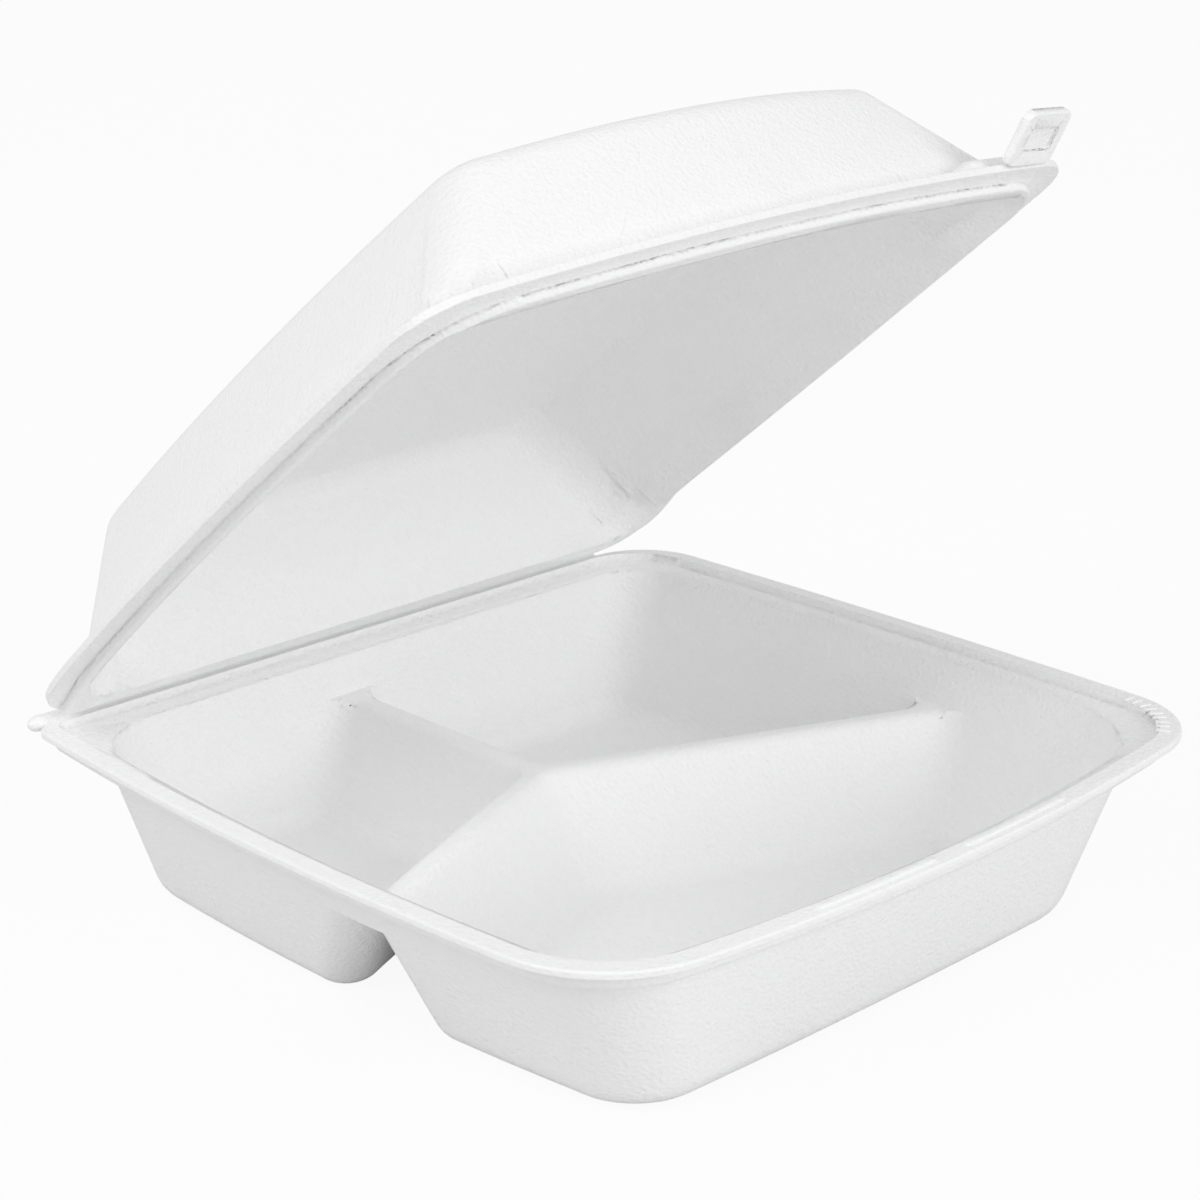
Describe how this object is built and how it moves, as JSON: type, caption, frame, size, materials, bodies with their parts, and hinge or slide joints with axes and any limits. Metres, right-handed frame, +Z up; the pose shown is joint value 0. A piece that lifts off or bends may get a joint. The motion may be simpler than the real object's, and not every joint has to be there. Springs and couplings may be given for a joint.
{
  "type": "foam clamshell container",
  "caption": "Hinged foam takeaway container: a tray split into compartments by a hollow Y-shaped divider, and a domed lid with a lift tab.",
  "frame": {"origin": "on the table, under the middle of the large front compartment", "axes": "+Z up, +Y towards the hinge, X along the hinge"},
  "size_m": [0.211, 0.2146, 0.191],
  "materials": {
    "foam": "white expanded polystyrene foam sheet, satin skin with a fine cell grain"
  },
  "bodies": {
    "tray": {"tray": "foam"},
    "lid": {"lid": "foam"}
  },
  "joints": [
    {"name": "lid_hinge", "type": "hinge", "parent": "tray", "child": "lid", "pos_m": [0, 0.141, 0.044], "axis": [-1, 0, 0], "range_deg": [-40, 140]}
  ]
}
